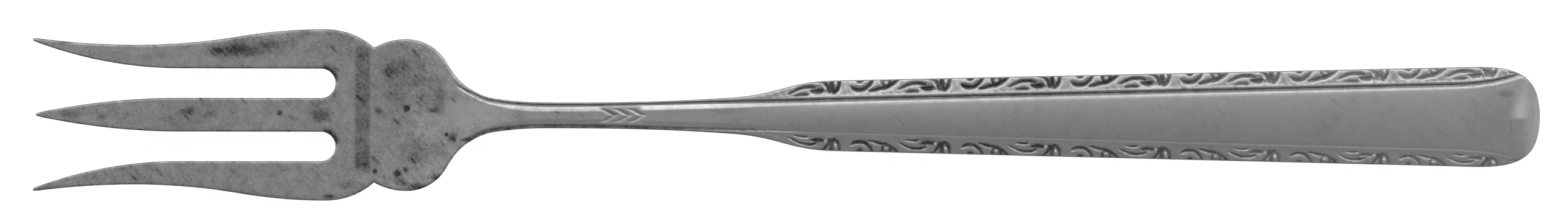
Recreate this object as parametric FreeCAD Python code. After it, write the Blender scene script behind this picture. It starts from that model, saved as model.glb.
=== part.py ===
import FreeCAD, Part
import os
from math import atan, cos, degrees, pi, radians, sin, tan

os.makedirs("parts", exist_ok=True)

# A short handle fork: one struck piece with a head of pointed tines, a round lobe, a slim neck and
# a flat handle with a plain panel between ornamented borders. It lies face up, on the belly of its
# head and the heel of its handle. X runs from the tips to the handle's end, Z is up, and the origin
# is under the middle of its box. Sizes are in millimetres.

# Lengths along the fork, each from the end of the one before it
tine_length = 28.98  # tips to the closed ends of the slots
root_length = 3.72  # slot ends to the notch
lobe_rise_length = 3.16  # notch to the lobe's crest
lobe_fall_length = 14.54  # crest to the waist of the neck
neck_length = 17.2  # waist to the start of the wings
wing_length = 9.8  # start of the wings to the knee
blade_length = 62.1  # knee to the start of the rounded end
end_length = 6.5  # rounded end

# Half widths of the outline, from the tips to the end
tip_half_width = 7.44
tine_waist_half_width = 6.78
shoulder_half_width = 8.34
notch_half_width = 6.56
lobe_half_width = 7.39
throat_half_width = 2.22
nape_half_width = 1.50
neck_half_width = 1.26
wing_half_width = 1.77
wing_slope = 0.07
wing_reach = 0.45  # share of its length over which the wing keeps its slope at each end
knee_half_width = 3.42
end_half_width = 4.87
end_corner_length = 4.55  # how far the sides run on into the rounded end
end_corner_half_width = 3.9
end_bow = 0.05

# Head
tine_waist_length = 9.67  # tips to the narrow place of the outer flanks
shoulder_length = 4.7  # crest of the shoulder to the notch
shoulder_turn = 0.55  # where the flank turns, as a share of the way from its waist to the shoulder
point_length = 14.0  # stretch over which a tine comes to its point
point_width = 0.30
middle_half_width = 1.64
middle_setback = 0.3  # the middle tip stops this much short of the others
slot_width = 2.86
lobe_fall_radius = 4.5
lobe_fall_angle = pi / 3
throat_length = 6.84  # lobe's crest to the steep part of its sweep into the neck
throat_slope = -0.52
nape_length = 9.64  # lobe's crest to the gentle part of that sweep
nape_slope = -0.12
band_width = 1.4
band_offset = 0.4  # band to the notch
band_depth = 0.12

# Side view: heights of the underside above the table, and thicknesses
tip_lift = 6.6
tip_slope = -0.33
slot_lift = 0.28
slot_slope = -0.16
lobe_lift = 1.55
lobe_slope = 0.33
arch_lift = 6.4
heel_lift = 0.35
heel_slope = -0.13
tip_thickness = 0.75
slot_thickness = 1.55
belly_thickness = 1.65
lobe_thickness = 2.1
arch_thickness = 2.7
heel_thickness = 2.25
brow_thickness = 2.0
brow_slope = -0.14
end_thickness = 0.9
end_slope = -0.7
slot_lead = 0.6  # knot of the tines' curve to the slots' ends
belly_length = 2.8  # flat stretch under the head
belly_overrun = 0.7  # notch to the end of that flat
heel_length = 4.0  # flat stretch under the handle's end
heel_blend_length = 5.0
brow_length = 3.4  # stretch over which the top turns down to the end
lobe_back_length = 5.6  # lobe's crest to the back of the lobe
arch_length = 14.6  # waist to the top of the arch

rim_easing = 0.12  # all round, top and underside
rim_share = 0.4  # most that the easing takes of a point's width

# Panel line and ornament
line_width = 0.24
line_depth = 0.16
line_inset = 0.27  # from the outline to the line, along the neck
border_width = 1.75  # from the outline to the line, along the handle
line_start_length = 4.44  # lobe's crest to the start of the line
line_start_half_width = 3.40
line_start_slope = -1.1
line_bend_half_width = 1.12  # at the last chevron
flare_offset = 2.5  # the line turns out this much before the rounded end
line_end_offset = 1.5
line_end_drop = 0.5
line_end_slope = 0.36
border_depth = 0.22
border_lead = 5.2  # start of the border's ground to the knee
border_end_offset = 2.5
border_end_inset = 0.34
stroke_width = 0.32
bead_radius = 0.2
bead_sides = 5
bead_turn = 300  # degrees from a bead's first corner to its last
curl_step = 28  # degrees, about, for each straight side of a curl
outer_rim_width = 0.14
inner_rim_width = 0.18
ornament_pitch = 10.65
ornament_start = 0.1  # knee to the first dart
ornament_count = 7
overlap = 0.1  # strokes run on into the rims by this much

# One repeat of the ornament: places along it from the dart, and heights from the inner rim
leaf_start = -4.3
leaf_turn = -1.5
leaf_radius = 0.81
leaf_from = -70  # degrees at which the leaf's curl ends and starts
leaf_to = 90
sprig_place = -2.6
sprig_height = 0.05
sprig_radius = 0.72
sprig_from = 20
sprig_to = 160
dart_bead_height = 0.85
spike_half_width = 0.16
spike_height = 0.5
block_start = 0.65
block_end = 1.4
scroll_place = 2.45
scroll_radius = 0.81
scroll_from = 175
scroll_to = 365
eye_drop = 0.12  # outer rim to the scroll's eye
frond_start = 3.35
frond_width = 0.3
frond_lean = 0.75
frond_height = 0.87
drop_place = 5.0
drop_height = 0.94
stem_start = 4.45
stem_width = 0.5
stem_lean = 1.75

# Chevrons cut across the neck
chevron_count = 3
chevron_pitch = 1.37
chevron_reach = 1.2
chevron_half_width = 0.72
chevron_width = 0.32
chevron_depth = 0.12
chevron_offset = 8.6  # waist to the last chevron's apex

# Stations along X, with the origin at the middle of the whole length
whole_length = (tine_length + root_length + lobe_rise_length + lobe_fall_length + neck_length
                + wing_length + blade_length + end_length)
x_tip = -whole_length / 2
x_slot = x_tip + tine_length
x_notch = x_slot + root_length
x_crest = x_notch + lobe_rise_length
x_throat = x_crest + throat_length
x_nape = x_crest + nape_length
x_waist = x_crest + lobe_fall_length
x_wing = x_waist + neck_length
x_knee = x_wing + wing_length
x_round = x_knee + blade_length
x_end = x_round + end_length

# Slope of the handle's sides, the panel line's middle to the border's ground, and the room round
# the fork in which cutters are drawn
taper = (end_half_width - knee_half_width) / blade_length
ground_start = line_width / 2 + inner_rim_width
clear = 5.0
half_room = max(shoulder_half_width, lobe_half_width, end_half_width) + clear
head_room = arch_lift + arch_thickness + tip_lift + clear


def at(x, y):
    return FreeCAD.Vector(x, y, 0)


def straight(start, end):
    return Part.LineSegment(start, end).toShape()


def arc_from(start, heading, end):
    """The arc that leaves start along heading, an angle, and reaches end."""
    chord = end - start
    side = at(-sin(heading), cos(heading))
    centre = start + side * (chord.dot(chord) / (2 * chord.dot(side)))
    outward = (start + end) * 0.5 - centre
    outward.normalize()
    return Part.Arc(start, centre + outward * (start - centre).Length, end).toShape()


def flow(start, start_slope, end, end_slope, reach=0.36):
    """A smooth curve between two points, with its slope given at each."""
    step = (end.x - start.x) * reach
    curve = Part.BezierCurve()
    curve.setPoles([start, start + at(step, step * start_slope), end - at(step, step * end_slope), end])
    return curve.toShape()


def chain(knots):
    """Smooth curves through knots, each of which is a length, a height and a slope."""
    return [flow(at(*a[:2]), a[2], at(*b[:2]), b[2]) for a, b in zip(knots, knots[1:])]


def closed(edges):
    return Part.Wire(Part.__sortEdges__(edges))


def mirrored(shape):
    return shape.mirror(FreeCAD.Vector(), FreeCAD.Vector(0, 1, 0))


def head_outline():
    """The +Y side of the head: middle tine, slot, outer tine, shoulder and notch."""
    slot_radius = slot_width / 2
    inner_y = middle_half_width + slot_width
    x_bend = x_slot - slot_radius
    middle_tip = at(x_tip + middle_setback, point_width / 2)
    middle_root = at(x_tip + point_length, middle_half_width)
    slot_start = at(x_bend, middle_half_width)
    slot_end = at(x_bend, inner_y)
    outer_root = at(x_tip + point_length, inner_y)
    inner_tip = at(x_tip, tip_half_width - point_width)
    outer_tip = at(x_tip, tip_half_width)
    tine_waist = at(x_tip + tine_waist_length, tine_waist_half_width)
    shoulder = at(x_notch - shoulder_length, shoulder_half_width)
    turn = tine_waist + (shoulder - tine_waist) * shoulder_turn
    return [straight(at(middle_tip.x, 0), middle_tip),
            arc_from(middle_root, pi, middle_tip),
            straight(middle_root, slot_start),
            Part.Arc(slot_start, at(x_slot, middle_half_width + slot_radius), slot_end).toShape(),
            straight(slot_end, outer_root),
            arc_from(outer_root, pi, inner_tip),
            straight(inner_tip, outer_tip),
            arc_from(tine_waist, pi, outer_tip),
            arc_from(tine_waist, 0, turn),
            arc_from(shoulder, pi, turn),
            arc_from(shoulder, 0, at(x_notch, notch_half_width))]


def lobe_outline():
    """The +Y side of the lobe, and its sweep down into the neck."""
    crest = at(x_crest, lobe_half_width)
    fall = crest + at(lobe_fall_radius * sin(lobe_fall_angle), lobe_fall_radius * (cos(lobe_fall_angle) - 1))
    sweep = [(fall.x, fall.y, -tan(lobe_fall_angle)), (x_throat, throat_half_width, throat_slope),
             (x_nape, nape_half_width, nape_slope), (x_waist, neck_half_width, 0)]
    return [arc_from(crest, pi, at(x_notch, notch_half_width)), arc_from(crest, 0, fall)] + chain(sweep)


def handle_outline():
    """The +Y side of the neck, wing, blade and rounded end."""
    wing = at(x_wing, wing_half_width)
    knee = at(x_knee, knee_half_width)
    corner = at(x_round, end_half_width)
    end = Part.BezierCurve()
    end.setPoles([corner, corner + at(end_corner_length, end_corner_length * taper),
                  at(x_end - end_bow, end_corner_half_width), at(x_end, 0)])
    return [flow(at(x_waist, neck_half_width), 0, wing, wing_slope),
            flow(wing, wing_slope, knee, taper, wing_reach),
            straight(knee, corner),
            end.toShape()]


def outline_face():
    upper = head_outline() + lobe_outline() + handle_outline()
    return Part.Face(closed(upper + [mirrored(edge) for edge in upper]))


x_belly = x_notch + belly_overrun - belly_length
x_heel = x_end - heel_length - heel_blend_length
under_knots = [(x_tip, tip_lift, tip_slope), (x_slot - slot_lead, slot_lift, slot_slope), (x_belly, 0, 0),
               (x_belly + belly_length, 0, 0), (x_crest + lobe_back_length, lobe_lift, lobe_slope),
               (x_waist + arch_length, arch_lift, 0), (x_heel, heel_lift, heel_slope),
               (x_heel + heel_blend_length, 0, 0), (x_end, 0, 0)]
thicknesses = [tip_thickness, slot_thickness, belly_thickness, belly_thickness, lobe_thickness,
               arch_thickness, heel_thickness]
top_knots = [(x, z + thickness, slope) for (x, z, slope), thickness in zip(under_knots, thicknesses)]
top_knots += [(x_end - brow_length, brow_thickness, brow_slope), (x_end, end_thickness, end_slope)]


def across(edges):
    """The solid that a closed side view makes when it is drawn out across the whole fork."""
    view = Part.Face(closed(edges))
    view.rotate(FreeCAD.Vector(), FreeCAD.Vector(1, 0, 0), 90)
    view.translate(FreeCAD.Vector(0, half_room, 0))
    return view.extrude(FreeCAD.Vector(0, -2 * half_room, 0))


def side_body():
    return across(chain(under_knots) + chain(top_knots)
                  + [straight(at(x_tip, tip_lift), at(*top_knots[0][:2])),
                     straight(at(x_end, 0), at(x_end, end_thickness))])


def skin(depth):
    """Everything above the level that lies this deep under the top."""
    lowered = [(x, z - depth, slope) for x, z, slope in top_knots]
    left = at(x_tip, head_room)
    right = at(x_end, head_room)
    return across(chain(lowered) + [straight(at(*lowered[0][:2]), left), straight(left, right),
                                    straight(right, at(*lowered[-1][:2]))])


def upright(edge):
    return abs(edge.tangentAt(edge.FirstParameter).z) > 0.95


def is_wall(face, edge):
    u, v = face.Surface.parameter(edge.valueAt((edge.FirstParameter + edge.LastParameter) / 2))
    return abs(face.normalAt(u, v).z) < 0.02


def rims(body):
    """Edges between a wall and the top or the underside."""
    found = []
    for edge in body.Edges:
        sides = body.ancestorsOfType(edge, Part.Face)
        if not upright(edge) and sum(is_wall(face, edge) for face in sides) == 1:
            found.append(edge)
    return found


def plain_fork():
    """The fork without lines or ornament, with its rims eased."""
    prism = outline_face().extrude(FreeCAD.Vector(0, 0, head_room))
    body = prism.common(side_body()).Solids[0]
    return body.makeChamfer(min(rim_easing, rim_share * point_width), rims(body)).Solids[0]


def panel_line(offset):
    """The +Y edge of the panel moved outwards by offset: along the neck, the handle and the end."""
    flare_x = x_round - flare_offset
    flare_y = end_half_width - border_width
    bend_x = x_waist + chevron_offset
    slope = (flare_y - line_bend_half_width) / (flare_x - bend_x)
    inward = offset - line_inset
    return [(x_crest + line_start_length, line_start_half_width + offset, line_start_slope),
            (x_throat, throat_half_width + inward, throat_slope),
            (x_nape, nape_half_width + inward, nape_slope),
            (x_waist, neck_half_width + inward, 0),
            (bend_x, line_bend_half_width + offset, slope),
            (flare_x, flare_y + offset, slope),
            (x_end - line_end_offset, end_half_width - line_end_drop + offset, line_end_slope)]


def between(low, high):
    """The plan between two lines given by knots."""
    ends = [straight(at(*low[i][:2]), at(*high[i][:2])) for i in (0, -1)]
    return Part.Face(closed(chain(low) + chain(high) + ends))


def outline_of(*points):
    """A plan face with straight sides."""
    corners = [at(*point) for point in points]
    return Part.Face(Part.makePolygon(corners + corners[:1]))


def round_points(u, v, radius, start, end, sides):
    """Corners of a round stroke about a centre, from one angle to another in degrees."""
    angles = [radians(start + (end - start) * side / sides) for side in range(sides + 1)]
    return [(u + radius * cos(angle), v + radius * sin(angle)) for angle in angles]


def bead(u, v):
    return outline_of(*round_points(u, v, bead_radius, 0, bead_turn, bead_sides))


def scroll(u, v, radius, start, end):
    """A curled stroke with short straight sides, part of a ring about a centre."""
    sides = round((end - start) / curl_step)
    inner = round_points(u, v, radius - stroke_width, start, end, sides)
    return outline_of(*round_points(u, v, radius, start, end, sides), *inner[::-1])


def leaf(width):
    """A leaf that runs along the outer rim and curls down and in, over a small curled sprig."""
    return [outline_of((leaf_start, width - stroke_width), (leaf_turn, width - stroke_width),
                       (leaf_turn, width + overlap), (leaf_start, width + overlap)),
            scroll(leaf_turn, width - leaf_radius, leaf_radius, leaf_from, leaf_to),
            scroll(sprig_place, sprig_height, sprig_radius, sprig_from, sprig_to)]


def dart():
    """A bead over a small spike, between two plain gaps."""
    return [bead(0, dart_bead_height),
            outline_of((-spike_half_width, -overlap), (spike_half_width, -overlap), (0, spike_height))]


def tendril(width):
    """A plain block, a scroll that opens outwards round its eye, a frond, a drop and a stem."""
    frond_top = frond_start + frond_lean
    stem_top = stem_start + stem_lean
    return [outline_of((block_start, -overlap), (block_end, -overlap), (block_end, width + overlap),
                       (block_start, width + overlap)),
            scroll(scroll_place, width, scroll_radius, scroll_from, scroll_to),
            bead(scroll_place, width - eye_drop),
            outline_of((frond_start, -overlap), (frond_start + frond_width, -overlap),
                       (frond_top + frond_width, frond_height), (frond_top, frond_height)),
            bead(drop_place, drop_height),
            outline_of((stem_start, -overlap), (stem_start + stem_width, -overlap),
                       (stem_top + stem_width, width + overlap), (stem_top, width + overlap))]


def ornament():
    """The plans of the raised strokes of the +Y border."""
    width = border_width - ground_start - outer_rim_width
    strokes = []
    for turn in range(ornament_count):
        x = x_knee + ornament_start + turn * ornament_pitch
        y = knee_half_width + taper * (x - x_knee) - border_width + ground_start
        motif = leaf(width) + dart()
        if turn < ornament_count - 1:
            motif += tendril(width)
        for stroke in motif:
            stroke.rotate(FreeCAD.Vector(), FreeCAD.Vector(0, 0, 1), degrees(atan(taper)))
            stroke.translate(at(x, y))
        strokes += motif
    return strokes


def border():
    """The plan of the +Y border's sunk ground, round its raised strokes."""
    inner = panel_line(ground_start)[4:]
    beyond = between(inner, [(x, half_room, 0) for x, y, slope in inner])
    x_start = x_knee - border_lead
    x_stop = x_end - border_end_offset
    middle_x = (x_start + x_knee) / 2
    middle_y = (wing_half_width + knee_half_width) / 2
    inset = outline_of((x_start, 0), (x_start, wing_half_width),
                       (middle_x, middle_y), (x_knee, knee_half_width - outer_rim_width),
                       (x_round, end_half_width - outer_rim_width),
                       (x_stop, end_half_width - border_end_inset), (x_stop, 0))
    return inset.common(beyond).cut(ornament()).Faces


def chevrons():
    """The plans of the cuts on the neck, which point to the handle."""
    cuts = []
    for turn in range(chevron_count):
        x = x_waist + chevron_offset - turn * chevron_pitch
        back = x - chevron_reach
        behind = back - chevron_width
        cuts.append(outline_of((x, 0), (back, chevron_half_width), (behind, chevron_half_width),
                               (x - chevron_width, 0), (behind, -chevron_half_width),
                               (back, -chevron_half_width)))
    return cuts


def sunk(plans, depth):
    """Cutters that sink plan faces into the top."""
    above = skin(depth)
    return [plan.extrude(FreeCAD.Vector(0, 0, head_room)).common(above) for plan in plans]


def both_sides(plans):
    return plans + [mirrored(plan) for plan in plans]


line = between(panel_line(-line_width / 2), panel_line(line_width / 2))
band = Part.makePlane(band_width, 2 * half_room, at(x_notch - band_offset - band_width, -half_room))
cutters = sunk(both_sides([line]), line_depth)
cutters += sunk(both_sides(border()), border_depth)
cutters += sunk(chevrons(), chevron_depth)
cutters += sunk([band], band_depth)
fork = plain_fork().cut(cutters).Solids[0]
fork.exportStep("parts/fork.step")
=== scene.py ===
from math import cos, pi, radians, sin, tan

import bmesh
import bpy
import numpy as np
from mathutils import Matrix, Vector


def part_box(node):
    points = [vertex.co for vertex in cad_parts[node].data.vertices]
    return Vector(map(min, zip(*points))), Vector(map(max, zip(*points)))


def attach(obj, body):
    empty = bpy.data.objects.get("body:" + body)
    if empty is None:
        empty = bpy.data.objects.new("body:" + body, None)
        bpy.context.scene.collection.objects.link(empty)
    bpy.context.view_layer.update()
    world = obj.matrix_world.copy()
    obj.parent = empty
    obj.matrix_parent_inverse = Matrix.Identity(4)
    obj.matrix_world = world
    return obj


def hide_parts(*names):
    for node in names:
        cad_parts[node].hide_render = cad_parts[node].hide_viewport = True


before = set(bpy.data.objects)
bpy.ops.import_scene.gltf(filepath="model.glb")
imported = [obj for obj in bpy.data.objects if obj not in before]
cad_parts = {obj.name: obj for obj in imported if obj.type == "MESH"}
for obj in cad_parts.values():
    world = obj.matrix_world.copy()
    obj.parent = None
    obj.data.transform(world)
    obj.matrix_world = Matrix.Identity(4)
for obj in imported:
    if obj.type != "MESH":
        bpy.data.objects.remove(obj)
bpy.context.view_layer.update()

# The fork: one piece of silver, struck between dies that cut its ornament, then bent to its side view and
# polished. Its face is a lattice laid over the plan, with rings grown from its edge for the rounded rims
# and a coarser lattice for the underside. Sizes are in millimetres until the mesh is scaled at the end.
mm = 0.001
box_low, box_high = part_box("fork")
x_tip = box_low.x / mm
x_end = box_high.x / mm

tine_length = 28.98
slot_to_notch = 3.72
notch_to_crest = 3.16
crest_to_waist = 14.54
waist_to_wing = 17.2
wing_to_knee = 9.8
end_length = 6.5
x_slot = x_tip + tine_length
x_notch = x_slot + slot_to_notch
x_crest = x_notch + notch_to_crest
x_waist = x_crest + crest_to_waist
x_wing = x_waist + waist_to_wing
x_knee = x_wing + wing_to_knee
x_round = x_end - end_length
end_half_width = 4.87
knee_half_width = 3.42
taper = (end_half_width - knee_half_width) / (x_round - x_knee)
rim = 0.13


def arc(vertex, end, count=50):
    """Points of the arc that is level at its vertex and reaches its end, from left to right."""
    (x0, y0), (x1, y1) = vertex, end
    drop = ((x1 - x0) ** 2 + (y1 - y0) ** 2) / (2 * (y1 - y0))
    x = np.linspace(min(x0, x1), max(x0, x1), count)
    y = y0 + drop - np.copysign(1, drop) * np.sqrt(drop ** 2 - (x - x0) ** 2)
    return np.stack([x, y], 1)


def bezier(poles, count=60):
    t = np.linspace(0, 1, count)[:, None]
    a, b, c, d = (np.array(pole, float) for pole in poles)
    return (1 - t) ** 3 * a + 3 * t * (1 - t) ** 2 * b + 3 * t ** 2 * (1 - t) * c + t ** 3 * d


def flow(start, start_slope, end, end_slope, reach=0.36):
    """Points of a smooth curve between two points, with its slope given at each."""
    step = (end[0] - start[0]) * reach
    return bezier((start, (start[0] + step, start[1] + step * start_slope),
                   (end[0] - step, end[1] - step * end_slope), end))


def chain(knots):
    """Points of smooth curves through knots, each of which is a length, a height and a slope."""
    return np.vstack([flow(a[:2], a[2], b[:2], b[2]) for a, b in zip(knots, knots[1:])])


def along(points, x):
    return np.interp(x, points[:, 0], points[:, 1])


def ramp(x, start, end):
    """A smooth rise from 0 at start to 1 at end."""
    t = np.clip((x - start) / (end - start), 0, 1)
    return t * t * (3 - 2 * t)


# Outline: places along the fork with their half widths, and with the slope there on a smooth curve
tip_half_width = 7.44
tine_waist = (x_tip + 9.67, 6.78)
shoulder = (x_notch - 4.7, 8.34)
turn_share = 0.55
turn = (tine_waist[0] + turn_share * (shoulder[0] - tine_waist[0]),
        tine_waist[1] + turn_share * (shoulder[1] - tine_waist[1]))
notch = (x_notch, 6.56)
crest = (x_crest, 7.39)
fall_radius, fall_angle = 4.5, pi / 3
fall = (crest[0] + fall_radius * sin(fall_angle), crest[1] + fall_radius * (cos(fall_angle) - 1))
throat = (x_crest + 6.84, 2.22, -0.52)
nape = (x_crest + 9.64, 1.50, -0.12)
waist = (x_waist, 1.26, 0)
wing = (x_wing, 1.77)
wing_slope, knee_reach = 0.07, 0.45
knee = (x_knee, knee_half_width)
corner = (x_round, end_half_width)
corner_reach, end_lead, end_fullness = 4.55, 0.05, 0.8
straight_points, end_points = 200, 120
same_point = 1e-6
outline = np.vstack([
    arc(tine_waist, (x_tip, tip_half_width)), arc(tine_waist, turn), arc(shoulder, turn),
    arc(shoulder, notch), arc(crest, notch), arc(crest, fall),
    chain([(*fall, -tan(fall_angle)), throat, nape, waist]),
    flow(waist[:2], 0, wing, wing_slope), flow(wing, wing_slope, knee, taper, knee_reach),
    np.linspace(knee, corner, straight_points),
    bezier((corner, (corner[0] + corner_reach, corner[1] + corner_reach * taper),
            (x_end - end_lead, end_fullness * end_half_width), (x_end, 0)), end_points)])
outline = outline[np.r_[True, np.hypot(*np.diff(outline, axis=0).T) > same_point]]
run = np.gradient(outline, axis=0)
run /= np.hypot(*run.T)[:, None]
inner_line = outline + rim * np.stack([run[:, 1], -run[:, 0]], 1)

# Middle tine, slots and inner flanks of the outer tines
middle_half_width = 1.64
middle_tip, outer_tip = 0.15, 7.14
tip_rim = 0.95 * rim
slot_radius = 1.43
slot_y = middle_half_width + slot_radius
x_bend = x_slot - slot_radius
point_length = 14.0
x_root = x_tip + point_length
hollow = slot_radius + rim
x_corner = x_bend + hollow * cos(pi / 4)
middle_flank = arc((x_root, middle_half_width - rim), (x_tip, middle_tip - tip_rim))
outer_flank = arc((x_root, slot_y + slot_radius + rim), (x_tip, outer_tip + tip_rim))

# Columns along the fork, each stretch with its own step, which is fine at the band's two edges and under
# the ornament. The last stretch follows the rounded end by its length.
x_band = x_notch - 1.1
edge_from, edge_to, edge_step = 0.67, 0.73, 0.02
ornament_step, last_columns = 0.12, 36
stretches = [(x_tip + rim, x_root, 0.36), (x_root, x_bend, 0.5), (x_bend, x_corner, 0.11),
             (x_corner, x_band - edge_to, 0.2), (x_band - edge_to, x_band - edge_from, edge_step),
             (x_band - edge_from, x_band + edge_from, 0.2),
             (x_band + edge_from, x_band + edge_to, edge_step),
             (x_band + edge_to, x_notch + 0.8, 0.1), (x_notch + 0.8, x_waist - 6.2, 0.24),
             (x_waist - 6.2, x_waist + 4.5, 0.26), (x_waist + 4.5, x_waist + 9.5, 0.115),
             (x_waist + 9.5, x_wing + 2.4, 0.26), (x_wing + 2.4, x_end - 3.0, ornament_step)]
columns = [x for start, end, step in stretches
           for x in np.linspace(start, end, round((end - start) / step) + 1)[:-1]]
last = inner_line[inner_line[:, 0] >= columns[-1]]
lengths = np.r_[0, np.cumsum(np.hypot(*np.diff(last, axis=0).T))]
columns += list(np.interp(np.linspace(0, lengths[-1], last_columns)[1:], lengths, last[:, 0]))
columns = np.array(columns)
corner_column = int(np.argmin(abs(columns - x_corner)))

# Rows out from the midline. On the head they follow the tines and slots, and on the handle they crowd
# under the ornament; between the two they blend. Round a slot's end they bulge to its half circle.
rows_middle, rows_slot, rows_all = 8, 14, 32
row_step, border_share = 0.085, 0.7
middle_setback = 0.3
half = along(inner_line, columns)
half[-1] = 0
past = np.clip(columns - x_bend, 0, hollow * cos(pi / 4))
flank_drop = hollow - np.sqrt(hollow ** 2 - past ** 2)
middle_y = along(middle_flank, columns) + flank_drop
outer_y = along(outer_flank, columns) - flank_drop
row = np.arange(rows_all + 1)
head_y = np.stack([np.interp(row, (0, rows_middle, rows_slot, rows_all), (0, m, o, h))
                   for m, o, h in zip(middle_y, outer_y, half)])
head_share = head_y[corner_column] / half[corner_column]
border_room = np.minimum(row_step * (rows_all - rows_middle), border_share * half)
handle_y = np.stack([np.interp(row, (0, rows_middle, rows_all), (0, h - room, h))
                     for h, room in zip(half, border_room)])
blend = ramp(columns, x_corner, x_waist - 5)[:, None]
plan_y = np.where(columns[:, None] < x_corner + same_point, head_y,
                  (1 - blend) * head_share * half[:, None] + blend * handle_y)
plan_x = np.repeat(columns[:, None], rows_all + 1, 1)
setback = middle_setback * (1 - ramp(columns, x_tip, x_root))[:, None]
plan_x += np.where(row < rows_slot - 1, setback, 0)
angle = (np.clip(row, rows_middle, rows_slot) - rows_middle) / (rows_slot - rows_middle) * pi / 2 - pi / 4
bulge = hollow * (np.cos(angle) - cos(pi / 4))
bulge_length = 2
fade = np.clip(1 - (columns - x_corner) / bulge_length, 0, 1) ** 2 * (columns > x_corner - same_point)
plan_x += bulge * fade[:, None]
at_slot = slice(rows_middle, rows_slot + 1)
plan_y[corner_column, at_slot] = slot_y + hollow * np.sin(angle[at_slot])

# Side view: knots of the underside, and the metal's thickness at each but the last two, where the face
# falls away over the rounded heel
under_knots = [(x_tip, 6.6, -0.33), (x_slot - 0.6, 0.28, -0.16), (x_notch - 2.1, 0, 0),
               (x_notch + 0.7, 0, 0), (x_crest + 5.6, 1.55, 0.33), (x_waist + 14.6, 6.4, 0),
               (x_end - 9, 0.35, -0.13), (x_end - 4, 0, 0), (x_end, 0, 0)]
thicknesses = [0.75, 1.55, 1.65, 1.65, 2.1, 2.7, 2.25]
heel_knots = [(x_end - 3.4, 2.0, -0.14), (x_end, 0.9, -0.7)]
face_knots = [(x, z + thick, slope) for (x, z, slope), thick in zip(under_knots, thicknesses)]
under_side = chain(under_knots)
face_side = chain(face_knots + heel_knots)

# The panel line, from the back of the lobe along the neck and the handle to the rounded end
line_inset, border_width = 0.27, 1.75
flare_x, flare_y = x_round - 2.5, end_half_width - border_width
bend_x, bend_y = x_waist + 8.6, 1.12
line_slope = (flare_y - bend_y) / (flare_x - bend_x)
panel_line = chain([(x_crest + 4.44, 3.40, -1.1)]
                   + [(x, y - line_inset, slope) for x, y, slope in (throat, nape, waist)]
                   + [(bend_x, bend_y, line_slope), (flare_x, flare_y, line_slope),
                      (x_end - 1.5, end_half_width - 0.5, 0.36)])


def square_share(points, x):
    """Share of a distance across the fork that is square to a line, from the line's slope there."""
    steepest, least_step = 4, 1e-4
    slope = np.gradient(points[:, 1]) / np.maximum(np.gradient(points[:, 0]), least_step)
    return 1 / np.sqrt(1 + np.interp(x, points[:, 0], np.clip(slope, -steepest, steepest)) ** 2)


# Where each place of the plan lies: from the outline, from the panel line, and on the neck or the handle
outline_y = along(outline, plan_x)
from_edge = (outline_y - plan_y) * square_share(outline, plan_x)
line_y = along(panel_line, plan_x)
from_line = (plan_y - line_y) * square_share(panel_line, plan_x)
lined = ramp(plan_x, x_crest + 4.4, x_crest + 6.4) * (1 - ramp(plan_x, x_end - 1.9, x_end - 1.5))
on_neck = 1 - ramp(plan_x, x_wing - 4, x_knee)
toward_end = ramp(plan_x, x_knee + 10, x_end - 10)
unworn = 1 - 0.4 * toward_end

# One repeat of the border: cuts round the raised scrolls, leaves and darts. Places run from the dart
# along the fork, and from the outer edge inwards; each place has the half width of its cut. A bead has
# its place and its two half widths.
pitch = 10.65
first_dart = x_knee + 0.1
last_repeat = 6
dart_cuts = [[(-1.25, 0.06, 0.05), (-0.95, 0.3, 0.13), (-0.72, 0.62, 0.16), (-0.6, 0.98, 0.16)],
             [(-0.4, 0.02, 0.14), (-0.42, 0.4, 0.2), (-0.36, 0.8, 0.24), (-0.16, 1.06, 0.15)],
             [(0.36, 0.02, 0.1), (0.34, 0.4, 0.13), (0.18, 0.8, 0.17), (-0.1, 1.06, 0.15)]]
leaf_cuts = [[(-4.6, 0.97, 0.03), (-4.15, 0.75, 0.08), (-3.6, 0.52, 0.1), (-3.05, 0.42, 0.11),
              (-2.4, 0.46, 0.11), (-2.0, 0.6, 0.12)],
             [(-2.35, 0.86, 0.1), (-1.9, 0.92, 0.23), (-1.35, 0.9, 0.22)],
             [(-3.95, 1.24, 0.03), (-3.4, 1.17, 0.07), (-2.9, 1.18, 0.08), (-2.6, 1.26, 0.03)],
             [(-2.3, 0.02, 0.03), (-1.6, 0.06, 0.05), (-1.25, 0.1, 0.05)]]
scroll_cuts = [[(2.12, 0.04, 0.11), (2.35, 0.13, 0.16), (2.58, 0.04, 0.11)],
               [(1.5, 0.6, 0.05), (1.75, 0.8, 0.13), (2.2, 0.9, 0.16), (2.75, 0.85, 0.15),
                (3.1, 0.62, 0.14), (3.35, 0.38, 0.14), (3.55, 0.04, 0.12)],
               [(3.2, 1.06, 0.05), (3.75, 0.95, 0.12), (4.35, 0.8, 0.13), (4.85, 0.74, 0.14),
                (5.3, 0.52, 0.16), (5.7, 0.26, 0.15), (6.0, 0.04, 0.11)],
               [(4.5, 0.04, 0.12), (4.5, 0.36, 0.1), (4.64, 0.62, 0.1), (4.88, 0.7, 0.1),
                (5.12, 0.6, 0.1), (5.24, 0.34, 0.12), (5.3, 0.04, 0.16)]]
beads = [(0, 0.33, 0.19, 0.34), (4.87, 0.34, 0.23, 0.23), (-1.0, 0.75, 0.14, 0.3)]


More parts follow.
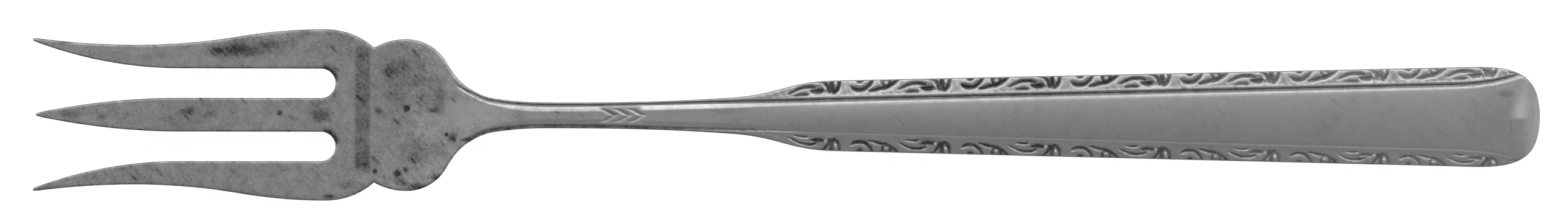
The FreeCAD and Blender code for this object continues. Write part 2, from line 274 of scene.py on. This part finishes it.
def cut_depth(u, w, cut):
    """How deep each place is in a cut: 1 along its middle, 0 outside it."""
    knots = np.array(cut)
    runs_per_step = 5
    position = np.linspace(0, len(knots) - 1, runs_per_step * (len(knots) - 1) + 1)
    slopes = np.gradient(knots, axis=0)
    step = np.clip(position.astype(int), 0, len(knots) - 2)
    t = (position - step)[:, None]
    middle = ((2 * t ** 3 - 3 * t ** 2 + 1) * knots[step] + (t ** 3 - 2 * t ** 2 + t) * slopes[step]
              + (3 * t ** 2 - 2 * t ** 3) * knots[step + 1] + (t ** 3 - t ** 2) * slopes[step + 1])
    nearest = np.full(u.shape, np.inf)
    for a, b in zip(middle, middle[1:]):
        du, dw = b[:2] - a[:2]
        share = np.clip(((u - a[0]) * du + (w - a[1]) * dw) / (du * du + dw * dw), 0, 1)
        away = np.hypot(u - a[0] - share * du, w - a[1] - share * dw)
        nearest = np.minimum(nearest, away / (a[2] + share * (b[2] - a[2])))
    floor_end, wall_end, slope_start, slope_end = 0.1, 1.2, 0.8, 2.8
    wall_share, slope_share = 0.75, 0.25
    return (wall_share * (1 - ramp(nearest, floor_end, wall_end))
            + slope_share * (1 - ramp(nearest, slope_start, slope_end)))


def ornament(x, w):
    """Depth of the border's cuts, from 0 on the raised forms to 1, and the height of its beads."""
    depth = np.zeros(x.shape)
    domes = np.zeros(x.shape)
    nearest_dart = np.round((x - first_dart) / pitch)
    for shift in (-1, 0):
        number = nearest_dart + shift
        u = x - first_dart - number * pitch
        shown = (number >= 0) & (number <= last_repeat)
        for cut in dart_cuts + leaf_cuts + scroll_cuts:
            depth = np.maximum(depth, np.where(shown, cut_depth(u, w, cut), 0))
        for bead_u, bead_w, reach_u, reach_w in beads:
            away = ((u - bead_u) / reach_u) ** 2 + ((w - bead_w) / reach_w) ** 2
            domes = np.maximum(domes, np.where(shown, 1 - away, 0))
    return depth, np.sqrt(domes)


def by_part(at_handle, at_neck):
    """A size with one value on the handle and another on the neck, with a smooth change between them."""
    return at_handle + (at_neck - at_handle) * on_neck


def line_relief(side):
    """Height, darkness and painted highlight from the panel line and the facet inside it: oxide in the
    groove, painted shade along the near side of the neck, and a painted highlight on the facet. The lower
    line is fainter.
    """
    groove_width, groove_depth = 0.12, 0.1
    groove = lined * np.exp(-(from_line / groove_width) ** 2)
    if side > 0:
        facet_depth = by_part(0.052, 0.12)
    else:
        facet_depth = by_part(0, 0.05)
        groove = groove * by_part(0.1, 0.65)
    least_full, facet_end, chevron_share = 0.3, 0.02, 0.75
    fullness = least_full + (1 - least_full) * ramp(plan_x, x_crest + 5.5, x_waist - 2)
    facet_width = by_part(0.35, 0.57) * fullness
    facet = ramp(from_line, -groove_width - facet_width, -groove_width) * (from_line < facet_end)
    at_chevrons = (ramp(plan_x, x_waist + 4.2, x_waist + 4.8)
                   * (1 - ramp(plan_x, x_waist + 8.0, x_waist + 8.8)))
    facet = facet * (1 - chevron_share * at_chevrons)
    height = -groove_depth * groove - lined * facet_depth * fullness * facet
    darkness, worn_clean, neck_clean = 0.8, 0.5, 0.15
    oxide_and_shade = groove * (darkness - worn_clean * (1 - unworn) - neck_clean * on_neck)
    if side < 0:
        # On the near side of the neck, shade is painted along the edge and the line, which turn away from the
        # light
        edge_reach, line_reach, near_edge_shade = 0.17, 0.2, 0.4
        painted_near_shade = np.exp(-(from_edge / edge_reach) ** 2) + np.exp(-(from_line / line_reach) ** 2)
        oxide_and_shade = oxide_and_shade + near_edge_shade * lined * on_neck * painted_near_shade
    return height, oxide_and_shade, lined * facet * on_neck ** 3 * fullness


def border_relief(side):
    """Height, darkness and painted highlight from the ornament, which is more worn towards the end and
    shallower below: oxide in the cuts, which below reaches wider as painted shade, and a painted highlight on
    the beads.
    """
    least_room = 0.05
    w = (outline_y - plan_y) / np.maximum(outline_y - line_y, least_room) * border_width
    cut, dome = ornament(plan_x, w)
    begun = ramp(plan_x, x_wing + 2.0, x_wing + 4.0)
    ended = ramp(plan_x, x_end - 2.4, x_end - 1.7)
    ground_end, ground_fade, bead_foot = 1.25, 1.4, 0.6
    sunk = begun * (1 - ended) * (1 - ramp(w, ground_end, ground_fade)) * (w > 0)
    cut = cut * sunk * (1 - ramp(dome, 0, bead_foot))
    if side > 0:
        cut_height, darkening, clear, darkest = 0.22, 1.4, 0.15, 1
    else:
        # Below, the darkness reaches wider, over the cuts' walls: painted shade
        cut_height, darkening, clear, darkest = 0.15, 1.9, 0.05, 0.85
    # The beads carry a painted highlight
    bead_height, bead_highlight = 0.09, 0.7
    height = bead_height * dome * sunk - cut_height * unworn * cut
    rim_w, rim_width, rim_height = 1.54, 0.13, 0.02
    height = height + rim_height * begun * np.exp(-((w - rim_w) / rim_width) ** 2)
    # The struck ground is a little uneven, in waves that cross one another
    wave_height = 0.009
    waves = (np.sin(5.3 * plan_x + 2.1 * w) * np.sin(2.9 * plan_x - 4.3 * w)
             + np.sin(8.7 * plan_x - 3.0 * w + 1.0))
    height = height + wave_height * waves * sunk
    oxide_and_shade = darkest * unworn * np.clip(darkening * cut - clear, 0, 1)
    return height, oxide_and_shade, bead_highlight * unworn * dome * sunk


def chevrons(side):
    """Depth of the three chevrons across the neck, from 0 to 1, which point to the handle's end."""
    count, spacing, slope, half_width = 3, 1.37, 1.75, 0.5
    last_apex, arm_fade, arm_end = x_waist + 8.5, 0.5, 0.72
    deepest = 1 if side > 0 else 0.45
    depth = np.zeros(plan_x.shape)
    for number in range(count):
        apex = last_apex - spacing * number
        arm = np.clip(1 - abs(plan_x - apex + slope * plan_y) / half_width, 0, 1)
        depth = np.maximum(depth, arm * (1 - ramp(plan_y, arm_fade, arm_end)) * deepest)
    return depth


def shaded_crescents(side):
    """Depth of the hollow on the far side of each slot's end, from 0 to 1, which also paints shade there,
    where the rim turns away from the light.
    """
    reach = 0.36
    first_angle, full_from, full_to, last_angle = -0.1, 0.35, 1.2, 1.6
    around = np.arctan2(side * (plan_y - slot_y), plan_x - x_bend)
    past_slot = np.hypot(plan_x - x_bend, plan_y - slot_y) - hollow
    return (np.clip(1 - past_slot / reach, 0, 1) * ramp(around, first_angle, full_from)
            * (1 - ramp(around, full_to, last_angle)))


def broad_relief():
    """Height from the softened edge, the handle's crown, the falling borders, the band and the dish."""
    edge_width, edge_drop = 0.3, 0.04
    height = -edge_drop * np.clip(1 - from_edge / edge_width, 0, 1) ** 2
    crown, border_slope, slope_loss, least_panel = 0.14, 0.13, 0.04, 1
    crowned = crown * np.minimum(plan_y / np.maximum(line_y, least_panel), 1) ** 2
    falling = (border_slope - slope_loss * toward_end) * np.maximum(from_line, 0)
    height = height - (1 - on_neck) * (crowned + falling)
    band_depth, band_flat, band_foot, band_fade, band_reach = 0.03, 0.55, 0.85, 5.7, 6.6
    band = ((1 - ramp(abs(plan_x - x_band), band_flat, band_foot))
            * (1 - ramp(plan_y, band_fade, band_reach)))
    dish_depth, dish_x, dish_length, dish_half_width = 0.22, x_crest + 0.5, 4.5, 7.4
    dish = (np.exp(-((plan_x - dish_x) / dish_length) ** 2)
            * np.clip(1 - (plan_y / dish_half_width) ** 2, 0, 1))
    return height - band_depth * band - dish_depth * dish


face_z, oxide_and_shade, painted_highlight = {}, {}, {}
chevron_depth, crescent_depth = 0.08, 0.14
chevron_darkness, lower_highlight = 0.5, 0.2
for side in (1, -1):
    line_height, line_oxide_and_shade, line_highlight = line_relief(side)
    border_height, border_oxide_and_shade, border_highlight = border_relief(side)
    chevron, shaded_crescent = chevrons(side), shaded_crescents(side)
    face_z[side] = (along(face_side, plan_x) + broad_relief() + line_height + border_height
                    - chevron_depth * chevron - crescent_depth * shaded_crescent)
    # Darkness: oxide in the lines, cuts and chevrons, with painted shade along the near side and at the
    # slots' ends
    oxide_and_shade[side] = np.clip(line_oxide_and_shade + border_oxide_and_shade + chevron_darkness * chevron ** 2 + shaded_crescent, 0, 1)
    # Painted highlights on the neck's facet and the beads, fainter on the near side, which turns away from
    # the light
    painted_highlight[side] = (line_highlight + border_highlight) * (1 if side > 0 else lower_highlight)
middle_z = (face_z[1][:, 0] + face_z[-1][:, 0]) / 2
for side in (1, -1):
    face_z[side][:, 0] = middle_z
under_z = along(under_side, plan_x)

bm = bmesh.new()
oxide_and_shade_layer = bm.verts.layers.float.new("oxide_and_shade")
highlighted = bm.verts.layers.float.new("highlighted")
face_up = bm.verts.layers.float.new("face_up")
places = {}
merge_distance, sliver = 1e-4, 1e-5


def lay_lattice(rows, heights, on_face):
    """A grid over the whole plan, on the given rows out from the midline, without the slots."""
    count = len(rows) - 1
    grid = bmesh.ops.create_grid(bm, x_segments=len(columns) - 1, y_segments=2 * count, size=1)
    for vert in grid["verts"]:
        i = round((vert.co.x + 1) / 2 * (len(columns) - 1))
        j = round(vert.co.y * count)
        r = rows[abs(j)]
        side = -1 if j < 0 else 1
        vert.co = (plan_x[i, r], side * plan_y[i, r], heights[side][i, r])
        if on_face:
            vert[oxide_and_shade_layer] = oxide_and_shade[side][i, r]
            vert[highlighted] = painted_highlight[side][i, r]
            vert[face_up] = 1
        places[vert] = (i, r, side)
    laid = set(grid["verts"])
    in_slots = []
    for face in bm.faces:
        if laid.issuperset(face.verts):
            columns_of = [places[vert][0] for vert in face.verts]
            rows_of = [places[vert][1] for vert in face.verts]
            if max(columns_of) <= corner_column and rows_middle <= min(rows_of) <= max(rows_of) <= rows_slot:
                in_slots.append(face)
    bmesh.ops.delete(bm, geom=in_slots, context="FACES")
    kept = [vert for vert in grid["verts"] if vert.is_valid]
    bmesh.ops.remove_doubles(bm, verts=kept, dist=merge_distance)


lay_lattice(range(rows_all + 1), face_z, True)

# The direction out of the face at each place of its edge
edges = [edge for edge in bm.edges if edge.is_boundary]
outward = {}
for edge in edges:
    loop = edge.link_loops[0]
    ahead = loop.link_loop_next.vert.co - loop.vert.co
    aside = Vector((ahead.y, -ahead.x, 0)).normalized()
    if loop.face.normal.z < 0:
        aside = -aside
    for vert in edge.verts:
        outward[vert] = outward.get(vert, Vector()) + aside
for aside in outward.values():
    aside.normalize()

# The rings: a rounded rim down from the face, a wall, and a rounded rim in under the fork. The face's rim
# has painted shade, darkest along the near side, which turns away from the light, and less on the handle.
coarse_rows = [0, 4, 8, 9, 10, 11, 12, 13, 14, 20, 26, 32]
rim_steps = [("face", pi / 6), ("face", pi / 3), ("face", pi / 2),
             ("under", pi / 2), ("under", pi / 4), ("under", 0)]
rim_shade, near_rim_shade, handle_shade_loss = 0.08, 0.5, 0.6
origins = {vert: vert for vert in outward}
face_places = {vert: vert.co.copy() for vert in outward}
for level, theta in rim_steps:
    grown = bmesh.ops.extrude_edge_only(bm, edges=edges)["geom"]
    fresh = {item for item in grown if isinstance(item, bmesh.types.BMVert)}
    for vert in fresh:
        parent = next(edge.other_vert(vert) for edge in vert.link_edges
                      if edge.other_vert(vert) not in fresh)
        origin = origins[vert] = origins[parent]
        i, r, side = places[origin]
        out = outward[origin] * rim * sin(theta)
        vert[oxide_and_shade_layer] = 0
        vert[face_up] = 0
        if level == "face":
            vert.co = face_places[origin] + out - Vector((0, 0, rim * (1 - cos(theta))))
            # Painted shade on the face's rim, darkest where the rim faces the near side
            darkness = rim_shade + near_rim_shade * ramp(-outward[origin].y, 0.1, 0.7)
            darkness = darkness * (1 - handle_shade_loss * ramp(vert.co.x, x_wing, x_knee))
            vert[oxide_and_shade_layer] = darkness * cos(theta)
            vert[face_up] = 1
        else:
            r = min(coarse_rows, key=lambda kept: abs(kept - r))
            under = Vector((plan_x[i, r], side * plan_y[i, r], under_z[i, r] + rim * (1 - cos(theta))))
            vert.co = under + out
    edges = [item for item in grown if isinstance(item, bmesh.types.BMEdge)
             and item.verts[0] in fresh and item.verts[1] in fresh]
lay_lattice(coarse_rows, {1: under_z, -1: under_z}, False)
bmesh.ops.remove_doubles(bm, verts=bm.verts[:], dist=merge_distance)
bmesh.ops.dissolve_degenerate(bm, dist=sliver, edges=bm.edges[:])
bmesh.ops.recalc_face_normals(bm, faces=bm.faces[:])
bmesh.ops.scale(bm, vec=(mm, mm, mm), verts=bm.verts[:])
for face in bm.faces:
    face.smooth = True
mesh = bpy.data.meshes.new("silver_fork")
bm.to_mesh(mesh)
bm.free()
fork = bpy.data.objects.new("silver_fork", mesh)
bpy.context.scene.collection.objects.link(fork)
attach(fork, "root")
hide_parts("fork")

# Aged silver: a satin ground worn by fine scratches that lean one way, with small dark pits, stains of
# tarnish on the face, and dark metal left in the lines and the cuts of the border.
# Painted shade darkens the near rims, the near side of the neck, the lower border and the slots' ends, and
# painted highlights lighten the throat, the neck's facet, the beads and the handle's end.
silver = bpy.data.materials.new("aged_silver")
silver.use_nodes = True
tree = silver.node_tree
tree.nodes.clear()


class Wire:
    """A node's output that takes part in sums, so that shader maths reads as plain expressions."""

    def __init__(self, socket):
        self.socket = socket

    def beside(self, name):
        """Another output of the same node."""
        return Wire(self.socket.node.outputs[name])

    def __add__(self, other):
        return maths("ADD", self, other)

    def __radd__(self, other):
        return maths("ADD", other, self)

    def __sub__(self, other):
        return maths("SUBTRACT", self, other)

    def __rsub__(self, other):
        return maths("SUBTRACT", other, self)

    def __mul__(self, other):
        return maths("MULTIPLY", self, other)

    def __rmul__(self, other):
        return maths("MULTIPLY", other, self)

    def __truediv__(self, other):
        return maths("DIVIDE", self, other)

    def __pow__(self, other):
        return maths("POWER", self, other)

    def __abs__(self):
        return maths("ABSOLUTE", self)

    def clamped(self):
        return maths("MAXIMUM", maths("MINIMUM", self, 1), 0)

    def rise(self, low, high):
        """From 0 where this is low to 1 where it is high."""
        return node("MapRange", {"Value": self, "From Min": low, "From Max": high},
                    interpolation_type="SMOOTHSTEP")


def node(kind, values=None, out=0, **settings):
    """A node of the given kind with its settings, and values or links for its sockets."""
    made = tree.nodes.new("ShaderNode" + kind)
    for name, setting in settings.items():
        setattr(made, name, setting)
    for name, value in (values or {}).items():
        if isinstance(value, Wire):
            tree.links.new(value.socket, made.inputs[name])
        else:
            made.inputs[name].default_value = value
    return Wire(made.outputs[out]) if made.outputs else None


def maths(operation, *values):
    return node("Math", dict(enumerate(values)), operation=operation)


def grey(value):
    return (value, value, value, 1)


def mixed_colour(share, first, second):
    return node("Mix", {"Factor": share, 6: first, 7: second}, out=2, data_type="RGBA")


place = node("TexCoord", out="Object")
axes = node("SeparateXYZ", {"Vector": place})
along_x = axes / mm
across_y = axes.beside("Y") / mm
in_oxide_and_shade = node("Attribute", out="Fac", attribute_name="oxide_and_shade")
on_highlight = node("Attribute", out="Fac", attribute_name="highlighted")
on_face = node("Attribute", out="Fac", attribute_name="face_up")


def noise(scale, detail=4, roughness=0.55, vector=place):
    return node("TexNoise", {"Vector": vector, "Scale": scale / mm, "Detail": detail,
                             "Roughness": roughness}, out="Fac")


def turned(degrees, stretch):
    """Object places turned about Z and stretched along the new X, for marks that lean one way."""
    spun = node("VectorRotate", {"Vector": place, "Axis": (0, 0, 1), "Angle": radians(degrees)},
                rotation_type="AXIS_ANGLE")
    return node("VectorMath", {0: spun, 1: (1 / stretch, 1, 1)}, operation="MULTIPLY")


def specks(vector, scale):
    """Distance to the nearest of many scattered points."""
    return node("TexVoronoi", {"Vector": vector, "Scale": scale / mm, "Randomness": 1.0}, out="Distance")


# Scattered marks, which are fewer on the handle than on the head
cloud = noise(0.16, 6, 0.62)
mottle = noise(0.9, 6, 0.65)
grain = noise(4.0, 4, 0.7)
worn = 1 - along_x.rise(x_crest + 4, x_waist + 4) * 0.65
on_head = 1 - along_x.rise(x_crest + 0.5, x_crest + 5)
lean_scratch = noise(4.2, 3, 0.6, turned(48, 9)).rise(0.56, 0.66)
cross_scratch = noise(4.2, 3, 0.6, turned(-38, 10)).rise(0.60, 0.70)
dark_scratch = noise(3.6, 3, 0.6, turned(44, 7)).rise(0.54, 0.66) * noise(0.4, 3).rise(0.38, 0.6)
grainy = (grain - 0.5) * 0.3
pit = (1 - (specks(place, 1.5) + grainy).rise(0.06, 0.16)) * noise(0.55, 3).rise(0.46, 0.56)
dash = (1 - (specks(turned(45, 4), 1.1) + grainy).rise(0.1, 0.24)) * noise(0.35, 3).rise(0.42, 0.58)
pale_dash = (1 - specks(turned(40, 4), 1.6).rise(0.06, 0.16)) * noise(0.25, 3).rise(0.46, 0.6)
ragged = (noise(0.75, 6, 0.7) - 0.5) * 2.6


def stain(x, y, reach_x, reach_y, strength):
    """A soft dark stain round one place. A small one has a cleaner edge."""
    small, little, much = 0.65, 0.15, 0.4
    away = (((along_x - x) / reach_x) ** 2 + ((across_y - y) / reach_y) ** 2) ** 0.5
    raggedness = little if reach_x < small else much
    return (1 - (away + ragged * raggedness).rise(0.1, 1.15)) * strength


# Stains where the real fork has them: place along and across, reach along and across, and strength,
# which is below 0 only for the throat: a painted highlight where it faces the tip lamp
tarnish = cloud.rise(0.45, 0.75) * (0.08 + 0.14 * on_head)
for x, y, reach_x, reach_y, strength in [
        (-54.4, 6.2, 3.0, 0.9, 0.5), (-51.8, 6.6, 4.0, 1.1, 0.42), (-49.5, 7.0, 2.2, 0.8, 0.2),
        (-62.0, 5.6, 1.5, 0.5, 0.16), (-47.0, 8.0, 1.6, 0.6, 0.2), (-43.4, 7.8, 0.8, 0.5, 0.2),
        (-37.0, 4.4, 3.2, 1.7, 0.24), (-35.6, 2.4, 3.2, 2.6, 0.16), (-38.9, 4.2, 0.9, 1.1, 0.34),
        (-33.9, 1.2, 0.8, 1.6, 0.3), (-37.9, 0.9, 1.8, 3.4, 0.14), (-34.4, 0.4, 1.0, 0.4, 0.3),
        (-37.1, 0.65, 0.4, 0.4, 1.1), (-39.9, 0.4, 0.7, 0.55, 0.45), (-33.2, -1.85, 0.3, 0.3, 0.9),
        (-32.6, -2.2, 0.75, 0.55, 0.6), (-38.0, -5.7, 0.5, 0.5, 0.7), (-37.2, -5.3, 0.4, 0.35, 0.5),
        (-37.6, -6.5, 0.9, 0.5, 0.4), (-40.2, -5.5, 0.35, 0.35, 0.7), (-36.0, -6.9, 1.6, 0.5, 0.5),
        (-33.9, -6.0, 1.5, 0.45, 0.4), (-45.4, 0.0, 1.3, 0.9, 0.4), (-49.4, 0.2, 0.42, 0.4, 0.9),
        (-56.1, 0.0, 0.8, 0.6, 0.3), (-58.2, 0.4, 0.9, 0.5, 0.3), (-69.5, 0.1, 1.5, 0.5, 0.4),
        (-66.4, -0.2, 0.6, 0.4, 0.4), (-70.2, 7.0, 1.2, 0.3, 0.4), (-44.6, -7.9, 0.7, 0.3, 0.6),
        (-43.2, -6.9, 0.9, 0.4, 0.25), (69.6, 2.3, 0.9, 0.55, 0.3), (-5.8, 0.4, 2.6, 0.35, 0.16),
        (-30.9, -2.4, 1.3, 0.3, 0.4), (17.0, 3.0, 0.7, 0.35, 0.4), (13.4, -2.3, 1.4, 0.4, 0.22),
        (-22.4, 0.3, 0.3, 0.2, 0.3), (38.2, 2.7, 0.4, 0.25, 0.4), (70.1, -1.1, 0.12, 1.1, 0.25),
        (-36.4, -4.0, 3.4, 2.2, 0.2), (-21.0, -0.2, 9.0, 1.4, 0.15), (68.6, 0.2, 3.2, 3.2, 0.12),
        (-30.5, 0.2, 4.0, 1.8, -0.15), (34.0, 0.0, 42.0, 7.0, 0.06)]:
    tarnish = tarnish + stain(x, y, reach_x, reach_y, strength)

# The dark band across the head, and a painted highlight on the far half of the handle's rounded end
from_band = abs(along_x - x_band) + (mottle - 0.5) * 0.4
band = (1 - from_band.rise(0.5, 0.95)) * (1 - abs(across_y - 0.5).rise(5.2, 6.6))
end_highlight_x = (along_x - across_y * 0.3 + ragged * 0.08).rise(69.6, 70.9) * (1 - along_x.rise(71.0, 72.2))
end_highlight_y = (across_y + ragged * 0.05).rise(-0.35, 0.15) * (1 - across_y.rise(0.6, 3.8))
end_highlight = end_highlight_x * end_highlight_y * 0.85 + along_x.rise(72.0, 72.9) * 0.3

marks = (mottle - 0.5) * 1.1 + (grain - 0.5) * 0.75 + dark_scratch * 0.22 + dash * 0.4
# Dark: tarnish, pits, oxide and marks, and the painted shade that the mesh carries on its rims, its near side
# and the slots' ends
dark = (0.1 + 0.13 * on_head + (tarnish * 1.1 + band * 0.42) * on_face + pit * (0.14 + 0.26 * on_head)
        + in_oxide_and_shade * (0.55 + 0.7 * mottle) + marks * worn + (grain - 0.5) * 0.2).clamped()
bright = ((lean_scratch * 0.5 + cross_scratch * 0.3) * noise(0.3, 3).rise(0.3, 0.65) + pale_dash).clamped()
# Pale: scratches, and painted highlights on the handle's end, the neck's facet and the beads
pale = (bright * 0.22 * worn + (end_highlight * 0.8 + on_highlight * 0.4) * on_face).clamped()
satin_grey, tarnish_and_shade_grey, bright_grey = grey(0.47), grey(0.055), grey(0.8)
colour = mixed_colour(pale, mixed_colour(dark, satin_grey, tarnish_and_shade_grey), bright_grey)
rough = (0.27 + 0.1 * mottle + 0.2 * dark - 0.04 * bright).clamped()
surface = (0.5 * grain + 0.3 * mottle - 0.8 * pit - 0.22 * lean_scratch - 0.18 * cross_scratch) * worn
bumped = node("Bump", {"Strength": 0.25, "Distance": 0.02 * mm, "Height": surface}, out="Normal")
shader = node("BsdfPrincipled", {"Base Color": colour, "Metallic": 1.0, "Roughness": rough,
                                 "Normal": bumped})
node("OutputMaterial", {"Surface": shader})
mesh.materials.append(silver)

# The studio: a plain white table, which glows evenly for the camera and in the silver and keeps a faint
# shadow, soft lamps round it, and a dim grey room that the camera sees as white.
bpy.ops.mesh.primitive_plane_add(size=4)
table = bpy.context.object
table.name = "table"
white = bpy.data.materials.new("table_white")
white.use_nodes = True
tree = white.node_tree
tree.nodes.clear()
seen = node("LightPath", out="Is Camera Ray")
seen = (seen + seen.beside("Is Glossy Ray")).clamped()
lit = node("BsdfDiffuse", {"Color": grey(0.4)})
faintly_lit = node("BsdfDiffuse", {"Color": grey(0.12)})
glow = node("Emission", {"Color": grey(0.955), "Strength": 1.0})
glowing = node("AddShader", {0: faintly_lit, 1: glow})
node("OutputMaterial", {"Surface": node("MixShader", {0: seen, 1: lit, 2: glowing})})
table.data.materials.append(white)


def lamp(name, spot, target, width, length, power):
    """A soft rectangular lamp at a spot, in metres, that faces its target."""
    data = bpy.data.lights.new(name, "AREA")
    data.shape = "RECTANGLE"
    data.size = width
    data.size_y = length
    data.energy = power
    made = bpy.data.objects.new(name, data)
    made.location = spot
    made.rotation_euler = (Vector(target) - Vector(spot)).to_track_quat("-Z", "Y").to_euler()
    bpy.context.scene.collection.objects.link(made)


# The face mirrors the high lamp, the slopes towards the far side the far lamp, and the far rims the low one
lamp("high_lamp", (0.15, 0.08, 1.45), (0.15, 0.08, 0), 2.8, 0.78, 1.55)
lamp("far_lamp", (0.1, 0.71, 1.09), (0.1, 0, 0), 2.8, 0.6, 10.0)
lamp("low_lamp", (0.1, 1.6, 0.45), (0.1, 0, 0), 2.8, 0.5, 2.0)
lamp("near_lamp", (0.1, -0.8, 1.2), (0.1, 0, 0), 2.8, 0.4, 1.4)
lamp("end_lamp", (1.6, 0, 0.8), (0.07, 0, 0), 0.9, 1.2, 1.7)
lamp("tip_lamp", (-1.2, 0, 1.4), (-0.03, 0, 0), 0.7, 1.0, 0.65)
world = bpy.data.worlds.new("studio")
world.use_nodes = True
tree = world.node_tree
tree.nodes.clear()
seen = node("LightPath", out="Is Camera Ray")
room = node("Background", {"Color": grey(0.24)})
blank = node("Background", {"Color": grey(1)})
node("OutputWorld", {"Surface": node("MixShader", {0: seen, 1: room, 2: blank})})
bpy.context.scene.world = world

# The camera: straight above with a long lens, as wide as the photograph is at its scale, which holds at
# the height of the fork's outline. The photograph is turned a little, and so is the camera.
photo_width, photo_height, pixels_per_mm = 2576, 367, 16.95
middle_px, midline_px = 1296.0, 190.5
lens, sensor = 240.0, 36.0
outline_height = 3.5
roll = radians(0.1)
frame_width = photo_width / pixels_per_mm
camera_data = bpy.data.cameras.new("camera")
camera_data.lens = lens
camera_data.sensor_width = sensor
camera_data.clip_end = 10
camera = bpy.data.objects.new("camera", camera_data)
camera.location = ((photo_width / 2 - middle_px) / pixels_per_mm * mm,
                   (midline_px - photo_height / 2) / pixels_per_mm * mm,
                   (frame_width * lens / sensor + outline_height) * mm)
camera.rotation_euler = (0, 0, roll)
bpy.context.scene.collection.objects.link(camera)
bpy.context.scene.camera = camera
bpy.context.scene.view_settings.view_transform = "Standard"
